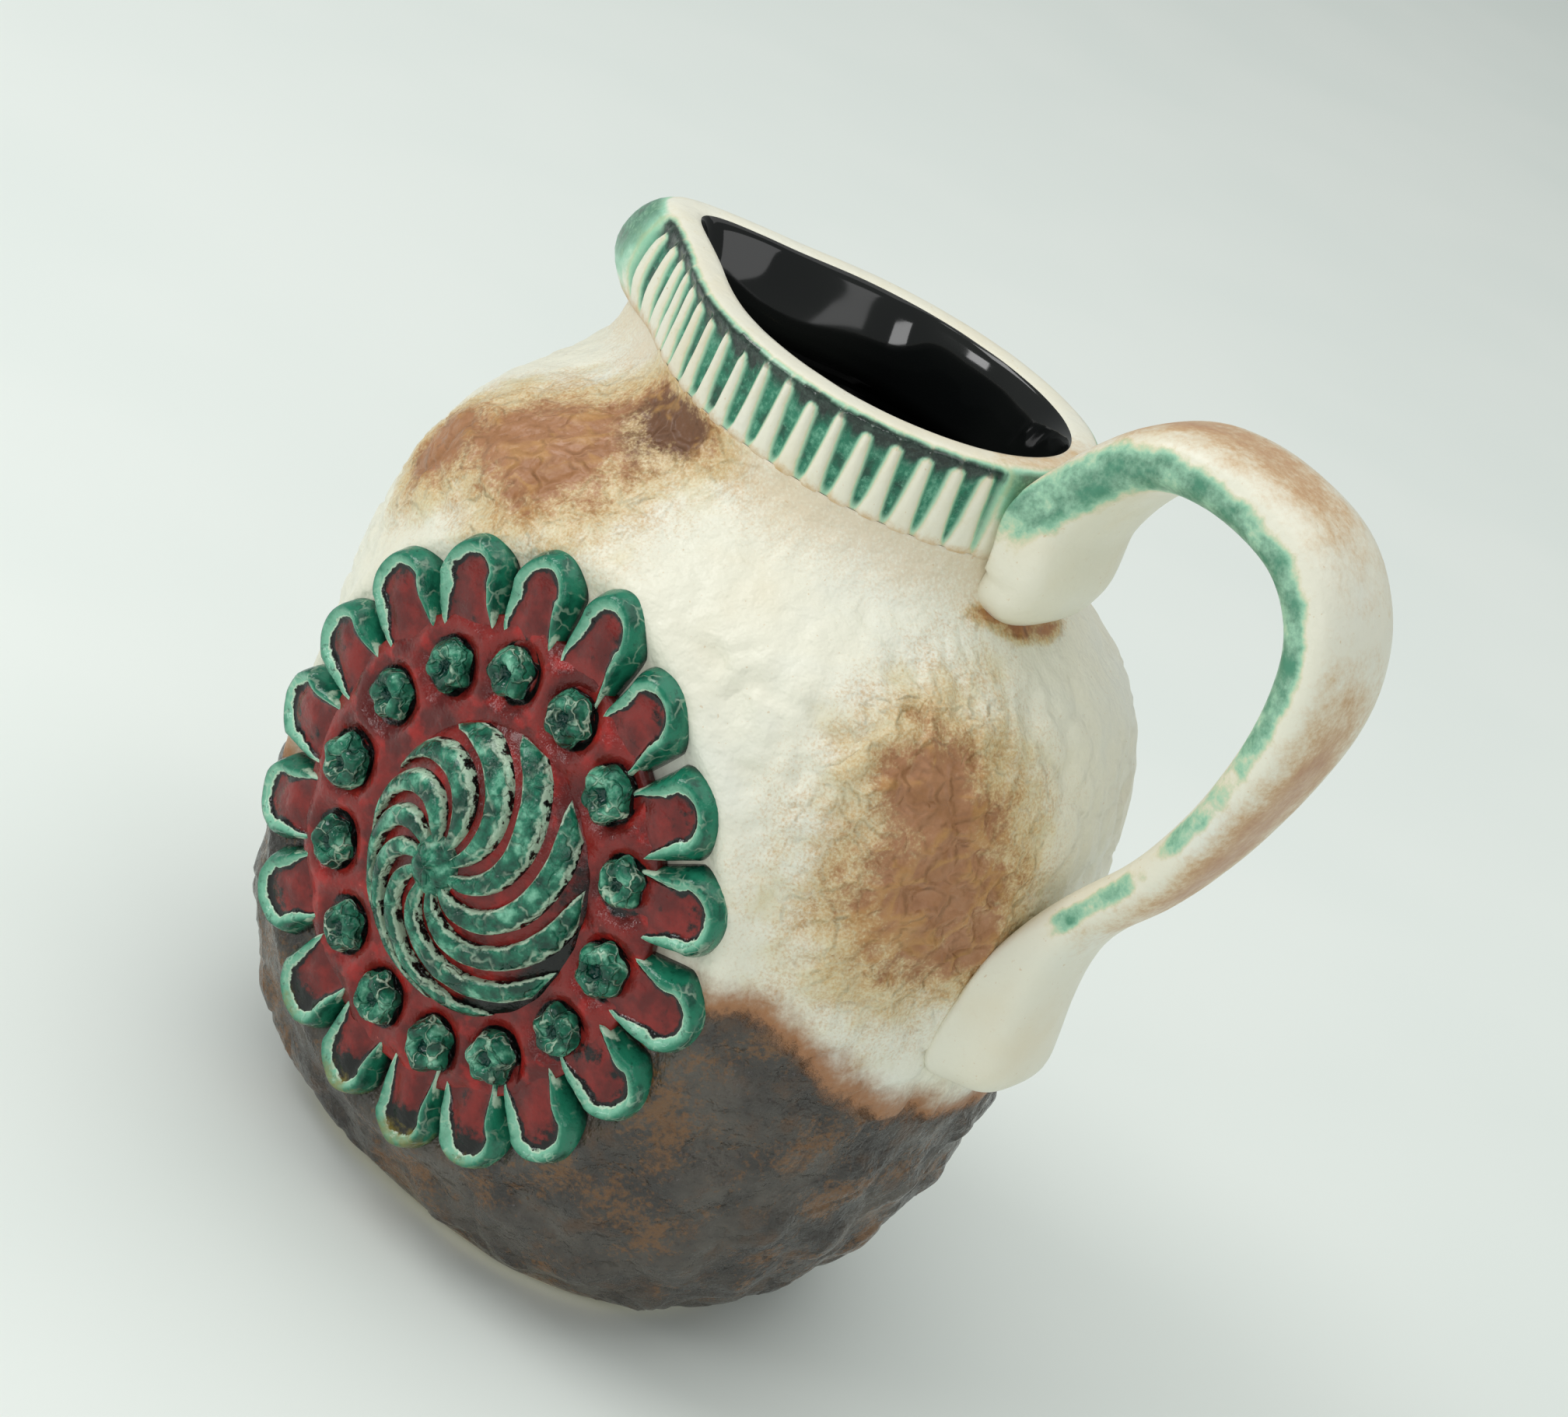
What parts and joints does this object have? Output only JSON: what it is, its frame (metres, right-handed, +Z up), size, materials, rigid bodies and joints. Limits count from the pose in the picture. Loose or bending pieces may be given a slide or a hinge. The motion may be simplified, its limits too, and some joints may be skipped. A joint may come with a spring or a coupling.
{
  "type": "ceramic jug",
  "caption": "Oval glazed jug with a fluted mouth band and pouring lip, a strap handle, and a relief rosette on the front.",
  "frame": {"origin": "middle of the flat base, on the surface that the jug stands on", "axes": "+Z up; the pouring lip points to -X, the handle to +X and the rosette to -Y"},
  "size_m": [0.1916, 0.1394, 0.2132],
  "materials": {
    "cream_glaze": "satin cream glaze with sponged brown and a dark brown foot",
    "green_glaze": "glossy green crackle glaze",
    "red_glaze": "glossy dark red glaze"
  },
  "bodies": {
    "root": {"body": "cream_glaze", "mouth_collar": "cream_glaze", "handle": "cream_glaze", "rosette_disc": "red_glaze", "petal_01": "green_glaze", "petal_02": "green_glaze", "petal_03": "green_glaze", "petal_04": "green_glaze", "petal_05": "green_glaze", "petal_06": "green_glaze", "petal_07": "green_glaze", "petal_08": "green_glaze", "petal_09": "green_glaze", "petal_10": "green_glaze", "petal_11": "green_glaze", "petal_12": "green_glaze", "petal_13": "green_glaze", "petal_14": "green_glaze", "petal_15": "green_glaze", "petal_16": "green_glaze", "petal_17": "green_glaze", "petal_18": "green_glaze", "bead_01": "green_glaze", "bead_02": "green_glaze", "bead_03": "green_glaze", "bead_04": "green_glaze", "bead_05": "green_glaze", "bead_06": "green_glaze", "bead_07": "green_glaze", "bead_08": "green_glaze", "bead_09": "green_glaze", "bead_10": "green_glaze", "bead_11": "green_glaze", "bead_12": "green_glaze", "bead_13": "green_glaze", "bead_14": "green_glaze", "whorl_dome": "red_glaze", "whorl_arm_01": "green_glaze", "whorl_arm_02": "green_glaze", "whorl_arm_03": "green_glaze", "whorl_arm_04": "green_glaze", "whorl_arm_05": "green_glaze", "whorl_arm_06": "green_glaze", "whorl_arm_07": "green_glaze", "whorl_arm_08": "green_glaze", "whorl_arm_09": "green_glaze", "whorl_arm_10": "green_glaze", "whorl_hub": "green_glaze"}
  },
  "joints": []
}
